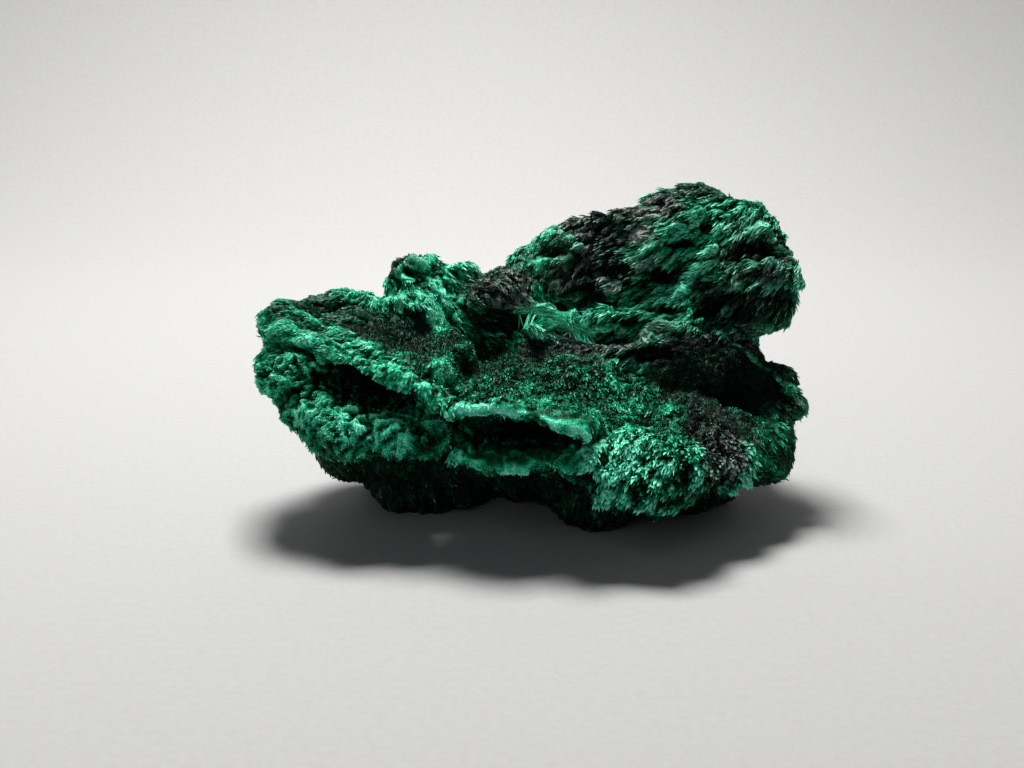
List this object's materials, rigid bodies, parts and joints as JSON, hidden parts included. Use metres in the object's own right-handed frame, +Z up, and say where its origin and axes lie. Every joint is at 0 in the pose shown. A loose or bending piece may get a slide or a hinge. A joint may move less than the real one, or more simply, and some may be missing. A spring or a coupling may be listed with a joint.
{
  "type": "malachite specimen",
  "caption": "Rough specimen of fibrous malachite: a silky folded crust with a shallow bowl, hollow lips and a ragged peak that rises at one end.",
  "frame": {"origin": "on the surface the specimen stands on, under the middle of its bounding box", "axes": "+X to the specimen's right, towards the end with the peak; +Y to its back; +Z up as it stands"},
  "size_m": [0.0853, 0.049, 0.0484],
  "materials": {
    "malachite": "silky fibrous malachite, emerald green with pale tips and near-black drusy and sooty patches, unpolished"
  },
  "bodies": {
    "root": {"malachite_specimen": "malachite"}
  },
  "joints": []
}
